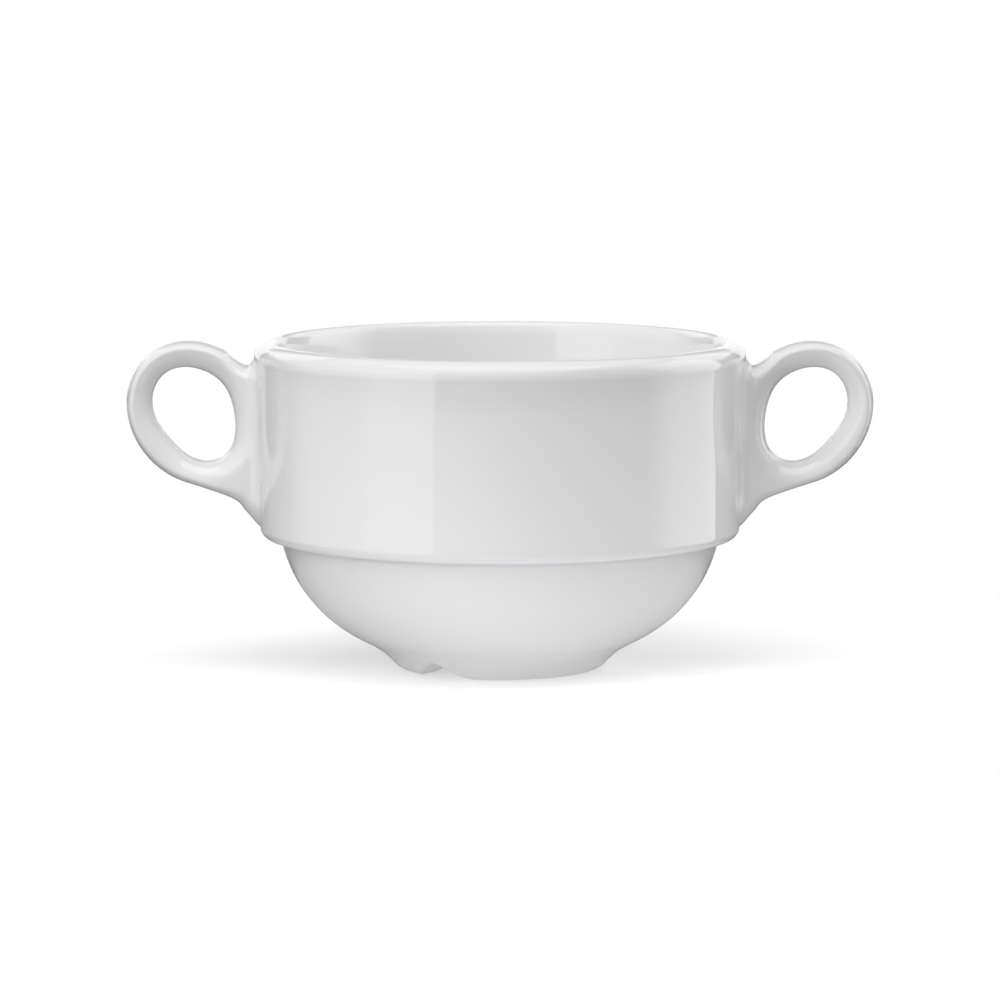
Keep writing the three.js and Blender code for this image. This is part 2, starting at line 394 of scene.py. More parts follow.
@dataclass
class CupBody:
    """The body: lip, drafted band, stacking step, round bowl and foot ring with its drain notches."""

    widest: float
    height: float
    step_height: float = 27.85
    band_draft_deg: float = 1.9
    band_flare: float = 6.0
    band_corner_round: float = 2.0
    wall: float = 4.7
    inner_draft_deg: float = 6.5
    inner_draft_drop: float = 12.0
    inner_lip_drop: float = 3.6
    lip_round: float = 3.4
    shoulder_round: float = 3.2
    nest_clearance: float = 0.8
    seat_round: float = 0.9
    bowl_centre_rise: float = 5.9
    bowl_bottom_height: float = 3.4
    foot_radius: float = 19.0
    foot_ring_width: float = 3.2
    foot_round: float = 4.6
    foot_slant_deg: float = 40.0
    foot_recess: float = 3.3
    recess_slope_deg: float = 45.0
    bare_height: float = 0.05
    neck_deg: float = 25.0
    notch_width: float = 14.8
    notch_depth: float = 3.2
    notch_count: int = 2
    notch_azimuth_deg: float = -35.5
    notch_blend: float = 1.2
    hub_radius: float = 5.0
    sides: int = 112
    name: str = "porcelain_body"

    def band_radius(self, height: np.ndarray | float) -> np.ndarray | float:
        """Outside radius of the band at a height, with a draft that grows towards the lip.

        Args:
            height: one height or many.

        Returns:
            The radius at each height.
        """
        low = self.step_height + self.band_corner_round
        span = self.height - self.lip_round - low
        flare = np.clip((height - low) / span, 0.0, 1.0) ** self.band_flare
        return self.widest - span * math.tan(math.radians(self.band_draft_deg)) * (1.0 - flare)

    def outline(self) -> Outline:
        """Traces the section from the foot's recess, over the lip, to the middle of the floor.

        Returns:
            The outline, without its two end points on the axis.
        """
        rim_radius = self.widest + self.lip_round * math.tan(math.radians(self.band_draft_deg))
        bowl_height = self.step_height + self.bowl_centre_rise
        bowl_arc = bowl_height - self.bowl_bottom_height
        seat = rim_radius - self.wall - self.nest_clearance
        bowl_centre = (seat - math.sqrt(bowl_arc ** 2 - self.bowl_centre_rise ** 2), bowl_height)
        outline = Outline((self.hub_radius, self.foot_recess))
        self._foot(outline, bowl_centre, bowl_arc)
        self._outside(outline, bowl_centre, bowl_arc, seat)
        self._inside(outline, bowl_centre, bowl_arc - self.wall)
        return outline

    def _foot(self, outline: Outline, bowl_centre: Point, bowl_arc: float) -> None:
        """Traces the recess, the standing ring and the neck up to the bowl.

        Args:
            outline: the outline so far, which goes on from its last point.
            bowl_centre: radius and height of the bowl's centre.
            bowl_arc: the bowl's own radius.
        """
        ring_inside = self.foot_radius - self.foot_ring_width
        half_recess = self.foot_recess / 2
        slope = -self.recess_slope_deg
        outline.line((ring_inside - 2 * self.foot_recess + half_recess, self.foot_recess), steps=2)
        outline.ease(0, (ring_inside - half_recess, half_recess), slope, steps=4)
        outline.ease(slope, (ring_inside + half_recess / 2, 0), 0, steps=4)
        outline.line((self.foot_radius, 0), steps=3)
        heel = (self.foot_radius, self.foot_round)
        outline.arc(heel, self.foot_round, -90, -self.foot_slant_deg, steps=5)
        low = math.radians(self.neck_deg)
        neck_end = (bowl_centre[0] + bowl_arc * math.sin(low), bowl_centre[1] - bowl_arc * math.cos(low))
        outline.ease(90 - self.foot_slant_deg, neck_end, self.neck_deg, steps=6)

    def _outside(self, outline: Outline, bowl_centre: Point, bowl_arc: float, seat: float) -> None:
        """Traces the bowl, the step, the band and the outer half of the lip.

        Args:
            outline: the outline so far, which goes on from its last point.
            bowl_centre: radius and height of the bowl's centre.
            bowl_arc: the bowl's own radius.
            seat: radius where the bowl meets the step.
        """
        seat_deg = math.degrees(math.acos(self.bowl_centre_rise / bowl_arc))
        bowl_end_deg = seat_deg - math.degrees(self.seat_round / bowl_arc)
        outline.arc(bowl_centre, bowl_arc, self.neck_deg - 90, bowl_end_deg - 90, steps=12)
        outline.ease(bowl_end_deg, (seat + self.seat_round, self.step_height), 0, steps=4)
        corner_height = self.step_height + self.band_corner_round
        corner = (self.band_radius(corner_height) - self.band_corner_round, corner_height)
        outline.line((corner[0], self.step_height), steps=2)
        outline.arc(corner, self.band_corner_round, -90, 0, steps=6)
        tilt = math.atan(self.band_flare * math.tan(math.radians(self.band_draft_deg)))
        lip = (self.widest - self.lip_round, self.height - self.lip_round)
        self._band(outline, lip[1] - self.lip_round * math.sin(tilt), steps=16)
        outline.arc(lip, self.lip_round, -math.degrees(tilt), 90, steps=8)

    def _band(self, outline: Outline, end_height: float, steps: int) -> None:
        """Follows the band's flared side up to a height.

        Args:
            outline: the outline so far, which goes on from its last point.
            end_height: height of the last point.
            steps: how many points follow the start.
        """
        start_height = outline.points[-1][1]
        for i in range(1, steps + 1):
            height = start_height + (end_height - start_height) * i / steps
            outline.points.append((float(self.band_radius(height)), height))

    def _inside(self, outline: Outline, bowl_centre: Point, inside_arc: float) -> None:
        """Traces the inner half of the lip, the wall, the shoulder over the step and the round floor.

        Args:
            outline: the outline so far, which goes on from its last point.
            bowl_centre: radius and height of the bowl's centre.
            inside_arc: radius of the bowl's inside.
        """
        shoulder = self.step_height + self.wall
        top = shoulder + self.shoulder_round
        slant = math.tan(math.radians(self.inner_draft_deg))
        edge, low = self.height - self.inner_lip_drop, self.height - self.inner_draft_drop
        inside = self.widest - self.wall
        down_deg = -90 - self.inner_draft_deg
        outline.ease(180, (inside - self.inner_lip_drop * slant, edge), down_deg, steps=7)
        outline.line((inside - self.inner_draft_drop * slant, low), steps=5)
        outline.ease(down_deg, (self.band_radius(top) - self.wall, top), -90, steps=8)
        bend = math.acos((bowl_centre[1] - shoulder + self.shoulder_round) / inside_arc)
        bend_deg = math.degrees(bend)
        end = (
            bowl_centre[0] + inside_arc * math.sin(bend), bowl_centre[1] - inside_arc * math.cos(bend))
        outline.ease(-90, end, bend_deg - 180, steps=8)
        outline.arc(bowl_centre, inside_arc, bend_deg - 90, -90, steps=12)
        outline.line((self.hub_radius, bowl_centre[1] - inside_arc), steps=3)

    def build(self) -> bpy.types.Object:
        """Throws the body as on a wheel: a disc, then one extruded ring after another along the outline.

        Returns:
            The body, at the origin with its place in its mesh.
        """
        points = [(radius * MM, height * MM) for radius, height in self.outline().points]
        radius, height = points[0]
        bpy.ops.object.select_all(action="DESELECT")
        bpy.ops.mesh.primitive_circle_add(
            vertices=self.sides, radius=radius, fill_type="TRIFAN", location=(0, 0, height))
        bpy.ops.object.transform_apply(location=True, rotation=False, scale=False)
        body = bpy.context.object
        body.name = self.name
        bpy.ops.object.mode_set(mode="EDIT")
        bpy.ops.mesh.select_mode(type="EDGE")
        bpy.ops.mesh.select_all(action="DESELECT")
        bpy.ops.mesh.select_non_manifold()
        for next_radius, next_height in points[1:]:
            bpy.ops.mesh.extrude_region_move(
                TRANSFORM_OT_translate={"value": (0, 0, next_height - height)})
            grow = next_radius / radius
            bpy.ops.transform.resize(value=(grow, grow, 1), center_override=(0, 0, next_height))
            radius, height = next_radius, next_height
        bpy.ops.mesh.merge(type="CENTER")
        bpy.ops.object.mode_set(mode="OBJECT")
        face_outwards()
        subdivide(body, levels=1)
        self._press_notches(body.data)
        bpy.ops.object.shade_smooth()
        return body

    def _press_notches(self, mesh: bpy.types.Mesh) -> None:
        """Lifts the standing ring into soft bells, where water drains from the upturned cup.

        Args:
            mesh: the body's mesh.
        """
        places = vertex_places(mesh)
        radius = np.hypot(places[:, 0], places[:, 1])
        azimuth = np.arctan2(places[:, 0], -places[:, 1])
        ring = smooth_step(radius, *self._recess_slope())
        for i in range(self.notch_count):
            away = azimuth - math.radians(self.notch_azimuth_deg) - 2 * math.pi * i / self.notch_count
            across = radius * np.sin(away)
            inside = (np.abs(across) < self.notch_width / 2) & (np.cos(away) > 0)
            bell = np.where(inside, 0.5 + 0.5 * np.cos(2 * math.pi * across / self.notch_width), 0.0)
            lift = self.notch_depth * bell
            blend = self.notch_blend * bell + NO_DISTANCE
            gap = np.clip(0.5 + 0.5 * (lift - places[:, 2]) / blend, 0.0, 1.0)
            raised = places[:, 2] * (1 - gap) + lift * gap + blend * gap * (1 - gap)
            low = places[:, 2] < self.notch_depth + self.notch_blend
            places[:, 2] = np.where(low, places[:, 2] + (raised - places[:, 2]) * ring, places[:, 2])
        move_vertices(mesh, places)

    def _recess_slope(self) -> Point:
        """Radii between which the recess slopes down to the standing ring."""
        ring_inside = self.foot_radius - self.foot_ring_width
        return (ring_inside - 2 * self.foot_recess, ring_inside - self.foot_recess)

    def dress(self, body: bpy.types.Object, glaze: bpy.types.Material, bare: bpy.types.Material) -> None:
        """Gives the body its glaze, and the standing ring its bare ground band.

        Args:
            body: the built body.
            glaze: finish of everything but the standing ring.
            bare: finish of the standing ring.
        """
        body.data.materials.append(glaze)
        body.data.materials.append(bare)
        for face in body.data.polygons:
            face.material_index = int(face.center.z < self.bare_height * MM)
        mark_glaze_depth_and_shade(body)
        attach(body, "root")
        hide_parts("cup_body")


def oval_edge(centre: Point, half_sizes: Point, tilt: float, normal_angles: np.ndarray) -> np.ndarray:
    """Points of a tilted oval whose outward normals have the given angles.

    Args:
        centre: X and Z of the oval's middle.
        half_sizes: half of its width and half of its length.
        tilt: turn of its length from upright towards +X, in radians.
        normal_angles: angles of the normals from +X towards +Z, in radians.

    Returns:
        One row of X and Z for each angle.
    """
    turned = normal_angles + tilt
    around = np.arctan2(half_sizes[1] * np.sin(turned), half_sizes[0] * np.cos(turned))
    across = half_sizes[0] * np.cos(around)
    along = half_sizes[1] * np.sin(around)
    return np.stack([
        centre[0] + across * math.cos(tilt) + along * math.sin(tilt),
        centre[1] - across * math.sin(tilt) + along * math.cos(tilt)], axis=1)


def spline(points: list[tuple[float, ...]], shares: np.ndarray) -> np.ndarray:
    """Smooth curve through a few points.

    Args:
        points: the points, in order, each with any number of values.
        shares: places along the curve, from 0 to 1, with equal steps from point to point.

    Returns:
        One row of values for each share.
    """
    knots = np.array([points[0], *points, points[-1]])
    place = shares * (len(points) - 1)
    index = np.minimum(place.astype(int), len(points) - 2)
    t = (place - index)[:, None]
    before, start, end, after = (knots[index + i] for i in range(4))
    leaving = (end - before) / 2
    arriving = (after - start) / 2
    return ((2 * start - 2 * end + leaving + arriving) * t ** 3
            + (-3 * start + 3 * end - 2 * leaving - arriving) * t ** 2 + leaving * t + start)


def nearest(places: np.ndarray, edge: Edge) -> np.ndarray:
    """Distance from each place to the nearest part of a closely drawn edge.

    Args:
        places: X and Z of each place.
        edge: starts and ends of the straight parts that make up the edge.

    Returns:
        One distance for each place.
    """
    starts, along = edge[0], edge[1] - edge[0]
    length = np.maximum((along ** 2).sum(axis=1), TINY)
    across, up = (places[:, None, i] - starts[:, i] for i in range(2))
    share = np.clip((across * along[:, 0] + up * along[:, 1]) / length, 0.0, 1.0)
    return np.hypot(across - share * along[:, 0], up - share * along[:, 1]).min(axis=1)


def rounded_off(distance: np.ndarray, reach: np.ndarray | float) -> np.ndarray:
    """Rises as a quarter of an oval, from 0 at an edge to 1 at a reach inside it."""
    share = np.clip(distance / reach, 0.0, 1.0)
    return np.sqrt(share * (2.0 - share))


@dataclass
class RingHandle:
    """One ring handle: a strap round a tilted oval finger hole, run into the band with a soft fillet.

    The handle is laid out flat, between the hole's edge and an outer edge that goes on inside the wall.
    Each point then gets a half width along Y from how far it is from the free edges and from the wall.
    Points of the root have a reach from the band, with a drop below the rim for the top and a rise above
    the band's lower corner for the tail.
    """

    body: CupBody
    hole_half_width: float = 7.8
    hole_half_length: float = 10.5
    hole_tilt_deg: float = 32.0
    hole_drop: float = 15.08
    hole_corners: int = 3
    hole_swell: float = 0.35
    hole_swell_deg: float = 12.0
    web: float = 4.7
    ring_half_width: float = 14.0
    ring_half_length: float = 16.0
    ring_tilt_deg: float = 40.0
    ring_shift: Point = (-0.5, -0.12)
    ring_top_deg: float = 121.0
    ring_bottom_deg: float = 290.0
    top_bend: Point = (4.3, 3.7)
    top_notch: Point = (1.75, 5.2)
    top_flare: Point = (0.1, 3.4)
    tail_bend: Point = (6.0, 5.95)
    tail_middle: Point = (3.05, 3.2)
    tail_flare: Point = (0.3, 0.1)
    strap_width: float = 9.6
    root_width: float = 10.2
    root_reach: Point = (2.0, 9.0)
    hole_round: float = 4.8
    outer_round: float = 1.7
    root_round: float = 2.85
    fillet: float = 2.8
    fillet_sink: float = 0.05
    buried_depth: float = 1.8
    root_drops: Point = (11.5, 18.5)
    root_rises: tuple[float, ...] = (13.0, 6.5, 1.4)
    tail_dip: float = 0.3
    joint_degs: tuple[float, ...] = (
        129.0, 147.0, 176.0, 183.0, 187.0, 191.0, 197.0, 203.0, 208.0, 212.0, 215.0, 219.0, 236.0, 260.0)
    free_knots: int = 4
    ring_stations: int = 64
    root_stations: int = 90
    section_points: int = 40

    def hole_centre(self) -> Point:
        """Places the finger hole by its web and its drop below the rim.

        Returns:
            X and Z of the hole's middle.
        """
        height = self.body.height - self.hole_drop
        tilt = math.radians(self.hole_tilt_deg)
        half_span = math.hypot(
            self.hole_half_width * math.cos(tilt), self.hole_half_length * math.sin(tilt))
        return (self.body.band_radius(height) + self.web + half_span, height)

    def hole_edge(self, angles: np.ndarray) -> np.ndarray:
        """Edge of the finger hole, an oval with a few faint corners.

        Args:
            angles: angles of the edge's normals, in radians.

        Returns:
            One row of X and Z for each angle.
        """
        centre = self.hole_centre()
        half_sizes = (self.hole_half_width, self.hole_half_length)
        edge = oval_edge(centre, half_sizes, math.radians(self.hole_tilt_deg), angles)
        turn = np.arctan2(edge[:, 1] - centre[1], edge[:, 0] - centre[0])
        swell = self.hole_swell * np.cos(self.hole_corners * (turn - math.radians(self.hole_swell_deg)))
        return edge + swell[:, None] * np.stack([np.cos(angles), np.sin(angles)], axis=1)

    def ring_edge(self, angles: np.ndarray) -> np.ndarray:
        """Outer edge of the strap, a larger oval round the hole.

        Args:
            angles: angles of the edge's normals, in radians.

        Returns:
            One row of X and Z for each angle.
        """
        centre = self.hole_centre()
        middle = (centre[0] + self.ring_shift[0], centre[1] + self.ring_shift[1])
        half_sizes = (self.ring_half_width, self.ring_half_length)
        return oval_edge(middle, half_sizes, math.radians(self.ring_tilt_deg), angles)

    def root_knots(self) -> list[tuple[float, float, float]]:
        """Points of the root's outer edge, from the ring's top, inside the wall and out along the tail.

        Returns:
            X, Z and the angle on the hole's edge that each point is joined to. The edge is free as far
            as the fifth point and from the fifth point before the end, and lies inside the wall between.
        """
        rim, corner = self.body.height, self.body.step_height + self.body.band_corner_round
        ends = self.ring_edge(np.radians([self.ring_top_deg, self.ring_bottom_deg]))
        deep, shallow = -self.buried_depth, -self.buried_depth / 2
        outer = [
            (self.top_bend[0], rim - self.top_bend[1]),
            (self.top_notch[0], rim - self.top_notch[1]),
            (self.top_flare[0], rim - self.top_flare[1]),
            (shallow, rim - self.top_flare[1] - shallow),
            (deep, rim - self.top_notch[1]),
            *((deep, rim - drop) for drop in self.root_drops),
            *((deep, corner + rise) for rise in self.root_rises),
            (shallow, corner - self.tail_dip),
            (self.tail_flare[0], corner + self.tail_flare[1]),
            (self.tail_middle[0], corner + self.tail_middle[1]),
            (self.tail_bend[0], corner + self.tail_bend[1]),
        ]
        return [
            (*ends[0], self.ring_top_deg),
            *((self.body.band_radius(height) + reach, height, angle)
              for (reach, height), angle in zip(outer, self.joint_degs, strict=True)),
            (*ends[1], self.ring_bottom_deg),
        ]

    def stations(self, ring_count: int, root_count: int) -> tuple[np.ndarray, np.ndarray, np.ndarray]:
        """Places the stations round the handle.

        Args:
            ring_count: stations round the ring.
            root_count: stations along the root.

        Returns:
            Inner edge, outer edge, and whether that outer edge is free, at each station.
        """
        ring = np.arange(ring_count) / ring_count
        root = np.arange(root_count) / root_count
        top, bottom = math.radians(self.ring_top_deg), math.radians(self.ring_bottom_deg)
        ring_angles = bottom + ring * (top - bottom + 2 * math.pi)
        knots = self.root_knots()
        root_line = spline(knots, root)
        angles = np.concatenate([ring_angles, np.radians(root_line[:, 2])])
        outer = np.concatenate([self.ring_edge(ring_angles), root_line[:, :2]])
        buried = np.abs(root - 0.5) < 0.5 - self.free_knots / (len(knots) - 1) - TINY
        return self.hole_edge(angles), outer, np.concatenate([np.ones(ring_count, bool), ~buried])

    def half_width(self, flat: np.ndarray, hole: Edge, free: Edge) -> np.ndarray:
        """Half width along Y at points of the handle's middle plane.

        Args:
            flat: X and Z of each point.
            hole: the hole's edge.
            free: the free part of the outer edge.

        Returns:
            Half widths, rounded off to nothing at the free edges and spread by the fillet at the wall.
        """
        wall = self.body.band_radius(flat[:, 1])
        near_hole = rounded_off(nearest(flat, hole), self.hole_round)
        to_edge = nearest(flat, free)
        swell = 1 - smooth_step(flat[:, 0] - wall, *self.root_reach)
        widest = (self.strap_width + (self.root_width - self.strap_width) * swell) / 2
        outer_round = self.outer_round + (self.root_round - self.outer_round) * swell
        half = widest * near_hole * rounded_off(to_edge, outer_round)
        for _ in range(FILLET_PASSES):
            away = np.hypot(flat[:, 0], half) - wall
            inward = np.clip(self.fillet - away - self.fillet_sink, 0, self.fillet)
            spread = self.fillet - np.sqrt(self.fillet ** 2 - inward ** 2)
            grown = (widest + spread) * near_hole * rounded_off(to_edge, outer_round + spread)
            half = (half + grown) / 2
        return half

    def grid(self) -> np.ndarray:
        """Points of the handle, station by station, evenly spaced and closer together at the wall.

        Returns:
            Array of stations by section points by X, Y and Z.
        """
        hole, outer, free = self.stations(
            self.ring_stations * EDGE_FINENESS, self.root_stations * EDGE_FINENESS)
        free = free & np.roll(free, -1)
        hole_edge = (hole, np.roll(hole, -1, axis=0))
        free_edge = (outer[free], np.roll(outer, -1, axis=0)[free])
        fine = (1 - np.cos(np.linspace(0, math.pi, SECTION_FINENESS))) / 2
        rows = []
        for near, far, ends_free in zip(*self.stations(self.ring_stations, self.root_stations)):
            flat = near + (far - near) * fine[:, None]
            half = self.half_width(flat, hole_edge, free_edge)
            away = np.hypot(flat[:, 0], half) - self.body.band_radius(flat[:, 1])
            crowding = 1 + WALL_CROWDING * np.exp(-away ** 2)
            steps = np.hypot(np.hypot(*np.diff(flat, axis=0).T), np.diff(half)) * crowding[1:]
            gone = np.concatenate([[0], np.cumsum(steps)])
            shares = np.interp(np.linspace(0, gone[-1], self.section_points), gone, fine)
            flat = near + (far - near) * shares[:, None]
            half = self.half_width(flat, hole_edge, free_edge)
            half[0] = 0
            if ends_free:
                half[-1] = 0
            front = np.stack([flat[:, 0], -half, flat[:, 1]], axis=1)
            back = np.stack([flat[:, 0], half, flat[:, 1]], axis=1)
            rows.append(np.concatenate([front, back[:0:-1]]))
        return np.array(rows)

    def build(self, side: Side) -> bpy.types.Object:
        """Bends a torus into the handle and turns it to its side of the cup.

        Args:
            side: the side that the handle sits on.

        Returns:
            The handle, at the origin with its place in its mesh.
        """
        grid = self.grid()
        stations, points = grid.shape[:2]
        bpy.ops.object.select_all(action="DESELECT")
        bpy.ops.mesh.primitive_torus_add(
            major_segments=stations, minor_segments=points,
            major_radius=self.hole_half_length * MM, minor_radius=self.strap_width / 2 * MM)
        handle = bpy.context.object
        handle.name = f"{side.word}_ring_handle"
        move_vertices(handle.data, grid.reshape(-1, 3))
        bpy.ops.object.mode_set(mode="EDIT")
        bpy.ops.mesh.select_all(action="SELECT")
        bpy.ops.transform.rotate(value=side.value, orient_axis="Z", center_override=(0, 0, 0))
        bpy.ops.object.mode_set(mode="OBJECT")
        face_outwards()
        subdivide(handle, levels=1)
        bpy.ops.object.shade_smooth()
        return handle

    def dress(self, handle: bpy.types.Object, side: Side, glaze: bpy.types.Material) -> None:
        """Glazes the handle, which stands for its CAD ring and for the slip seam under its fillet.

        Args:
            handle: the built handle.
            side: the side that it sits on.
            glaze: its finish.
        """
        handle.data.materials.append(glaze)
        mark_glaze_depth_and_shade(handle)
        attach(handle, "root")
        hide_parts(f"{side.word}_handle", f"{side.word}_luting_seam")


@dataclass(frozen=True)
class TentPane:
    """One lit pane in the wall of the light tent, with its own light above and below the table's level.

    What is below that level lights nothing. It only shows in the glaze, past the edge of the table.
    """

    left_deg: float
    right_deg: float
    radiance: float
    low_radiance: float
    left_soft_deg: float = 1.0
    right_soft_deg: float = 1.0
    bottom: float = -650.0
    top: float = 950.0
    soft: float = 60.0


@dataclass
class Studio:
    """Plain soft studio: a light tent, a pale floor, white surroundings and the camera."""

    tent_radius: float = 900.0
    tent_bottom: float = -2000.0
    tent_top: float = 1000.0
    overhead_size: Point = (1200.0, 900.0)
    overhead_height: float = 950.0
    overhead_forward: float = 470.0
    overhead_radiance: float = 1.78
    rear_size: Point = (1500.0, 50.0)
    rear_height: float = 32.0
    rear_distance: float = 840.0
    rear_radiance: float = 22.0
    floor_radius: float = 800.0
    round_sides: int = 96
    paper: str = "#F2F2F2"
    paper_lift: float = 0.3
    paper_fade: Point = (45.0, 170.0)
    table_grey: str = "#6C6C6C"
    table_glow: float = 0.95
    table_shine: float = 0.35
    table_ring: float = 68.0
    table_ring_reach: Point = (14.0, 40.0)
    table_spot: Point = (18.0, -92.0)
    table_spot_stretch: float = 1.25
    table_spot_reach: Point = (10.0, 150.0)
    table_reach: float = 140.0
    sky: str = "#FFFFFF"
    sky_glow: float = 0.15
    camera_distance: float = 1150.0
    camera_elevation_deg: float = 6.675
    aim_height: float = 35.23
    pixels_per_mm: float = 4.7788
    image_pixels: float = 1000.0
    sensor: float = 36.0
    panes: tuple[TentPane, ...] = (
        TentPane(-181.0, 181.0, 0.05, 0.32, bottom=-190.0),
        TentPane(-68.0, -30.0, 0.98, 0.65, left_soft_deg=6.0),
        TentPane(-126.0, -30.0, 0.94, 0.9, left_soft_deg=30.0),
        TentPane(-30.0, 55.0, 0.38, 0.43, right_soft_deg=70.0, bottom=-190.0),
        TentPane(-37.0, 44.0, 0.65, 0.0, left_soft_deg=8.0, right_soft_deg=20.0, bottom=330.0),
        TentPane(70.0, 123.5, 2.3, 1.65, left_soft_deg=22.0),
        TentPane(150.0, 181.0, 1.05, 0.0, bottom=0.0, top=350.0, soft=20.0),
        TentPane(-181.0, -150.0, 1.05, 0.0, bottom=0.0, top=350.0, soft=20.0),
        TentPane(112.0, 162.0, 1.4, 0.0, left_soft_deg=20.0, right_soft_deg=15.0, bottom=300.0),
        TentPane(-162.0, -112.0, 1.4, 0.0, left_soft_deg=15.0, right_soft_deg=20.0, bottom=300.0),
    )

    def build(self) -> None:
        """Sets up the floor, the tent, the soft lights, the surroundings and the camera."""
        self._floor()
        self._tent()
        self._softboxes()
        self._surroundings()
        self._camera()
        bpy.context.scene.view_settings.view_transform = "Standard"

    def _floor(self) -> None:
        """Lays the pale floor: white paper to the eye, and a table that throws light up at the cup."""
        bpy.ops.object.select_all(action="DESELECT")
        bpy.ops.mesh.primitive_circle_add(
            vertices=self.round_sides, radius=self.floor_radius * MM, fill_type="NGON",
            location=(0, 0, 0))
        floor = bpy.context.object
        floor.name = "studio_floor"
        material = empty_material("white_paper")
        tree = material.node_tree
        rays = add_node(tree, "ShaderNodeLightPath").outputs
        place = add_node(tree, "ShaderNodeTexCoord").outputs["Object"]
        reach = add_node(tree, "ShaderNodeVectorMath", {0: place}, operation="LENGTH").outputs["Value"]
        shown = self._paper(tree, reach)
        table = self._table(tree, place, reach, rays["Is Glossy Ray"])
        beyond = add_node(tree, "ShaderNodeMath", {
            0: reach, 1: self.table_reach * MM}, operation="GREATER_THAN").outputs["Value"]
        unseen = add_node(tree, "ShaderNodeMath", {
            0: beyond, 1: rays["Is Glossy Ray"]}, operation="MULTIPLY").outputs["Value"]
        clear = add_node(tree, "ShaderNodeBsdfTransparent").outputs["BSDF"]
        table = add_node(tree, "ShaderNodeMixShader", {
            "Fac": unseen, 1: table, 2: clear}).outputs["Shader"]
        surface = add_node(tree, "ShaderNodeMixShader", {
            "Fac": rays["Is Camera Ray"], 1: table, 2: shown}).outputs["Shader"]
        add_node(tree, "ShaderNodeOutputMaterial", {"Surface": surface})
        floor.data.materials.append(material)

    def _paper(self, tree: bpy.types.NodeTree, reach: bpy.types.NodeSocket) -> bpy.types.NodeSocket:
        """Builds the paper that the eye sees, with the cup's shadow, fading to plain white further out.

        Args:
            tree: the floor's node tree.
            reach: distance from the cup's axis.

        Returns:
            The shader's output.
        """
        sheet = add_node(tree, "ShaderNodeBsdfDiffuse", {
            "Color": linear_colour(self.paper)}).outputs["BSDF"]
        lift = add_node(tree, "ShaderNodeEmission", {"Strength": self.paper_lift}).outputs["Emission"]
        near = add_node(tree, "ShaderNodeAddShader", {0: sheet, 1: lift}).outputs["Shader"]
        white = add_node(tree, "ShaderNodeEmission", {"Strength": 1.0}).outputs["Emission"]
        fade = add_node(tree, "ShaderNodeMapRange", {
            "Value": reach, "From Min": self.paper_fade[0] * MM, "From Max": self.paper_fade[1] * MM},
            interpolation_type="SMOOTHSTEP").outputs["Result"]
        return add_node(tree, "ShaderNodeMixShader", {"Fac": fade, 1: near, 2: white}).outputs["Shader"]

    def _table(self, tree: bpy.types.NodeTree, place: bpy.types.NodeSocket, reach: bpy.types.NodeSocket,
               mirrored: bpy.types.NodeSocket) -> bpy.types.NodeSocket:
        """Builds the light table that throws light up at the cup: a grey top with a soft bright spot.

        In the glaze, a paler ring shows round the cup as well.

        Args:
            tree: the floor's node tree.
            place: position on the floor.
            reach: distance from the cup's axis.
            mirrored: whether the table is seen in the glaze.

        Returns:
            The shader's output.
        """
        narrow = 1 / self.table_spot_stretch
        centre = (self.table_spot[0] * MM * narrow, self.table_spot[1] * MM, 0.0)
        oval = add_node(tree, "ShaderNodeVectorMath", {
            0: place, 1: (narrow, 1.0, 1.0)}, operation="MULTIPLY")
        away = add_node(tree, "ShaderNodeVectorMath", {
            0: oval.outputs["Vector"], 1: centre}, operation="DISTANCE")
        glow = add_node(tree, "ShaderNodeMapRange", {
            "Value": away.outputs["Value"], "From Min": self.table_spot_reach[1] * MM,
            "From Max": self.table_spot_reach[0] * MM, "To Max": self.table_glow},
            interpolation_type="SMOOTHSTEP")
        off_ring = add_node(tree, "ShaderNodeMath", {
            0: reach, 1: self.table_ring * MM}, operation="SUBTRACT")
        off_ring = add_node(tree, "ShaderNodeMath", {
            0: off_ring.outputs["Value"]}, operation="ABSOLUTE")
        ring = add_node(tree, "ShaderNodeMapRange", {
            "Value": off_ring.outputs["Value"], "From Min": self.table_ring_reach[1] * MM,
            "From Max": self.table_ring_reach[0] * MM, "To Max": self.table_shine},
            interpolation_type="SMOOTHSTEP")
        glare = add_node(tree, "ShaderNodeMath", {
            0: mirrored, 1: ring.outputs["Result"], 2: glow.outputs["Result"]}, operation="MULTIPLY_ADD")
        lit = add_node(tree, "ShaderNodeEmission", {"Strength": glare.outputs["Value"]})
        top = add_node(tree, "ShaderNodeBsdfDiffuse", {"Color": linear_colour(self.table_grey)})
        return add_node(tree, "ShaderNodeAddShader", {
            0: top.outputs["BSDF"], 1: lit.outputs["Emission"]}).outputs["Shader"]

    def _tent(self) -> None:
        """Stands the light tent round the cup: a cylinder of cloth with brighter panes."""
        height = (self.tent_top - self.tent_bottom) * MM
        bpy.ops.object.select_all(action="DESELECT")
        bpy.ops.mesh.primitive_cylinder_add(
            vertices=self.round_sides, radius=self.tent_radius * MM, depth=height,
            end_fill_type="NOTHING", location=(0, 0, self.tent_bottom * MM + height / 2))
        bpy.ops.object.transform_apply(location=True, rotation=False, scale=False)
        tent = bpy.context.object
        tent.name = "light_tent"
        tent.visible_camera = False
        tent.data.materials.append(self._tent_cloth())

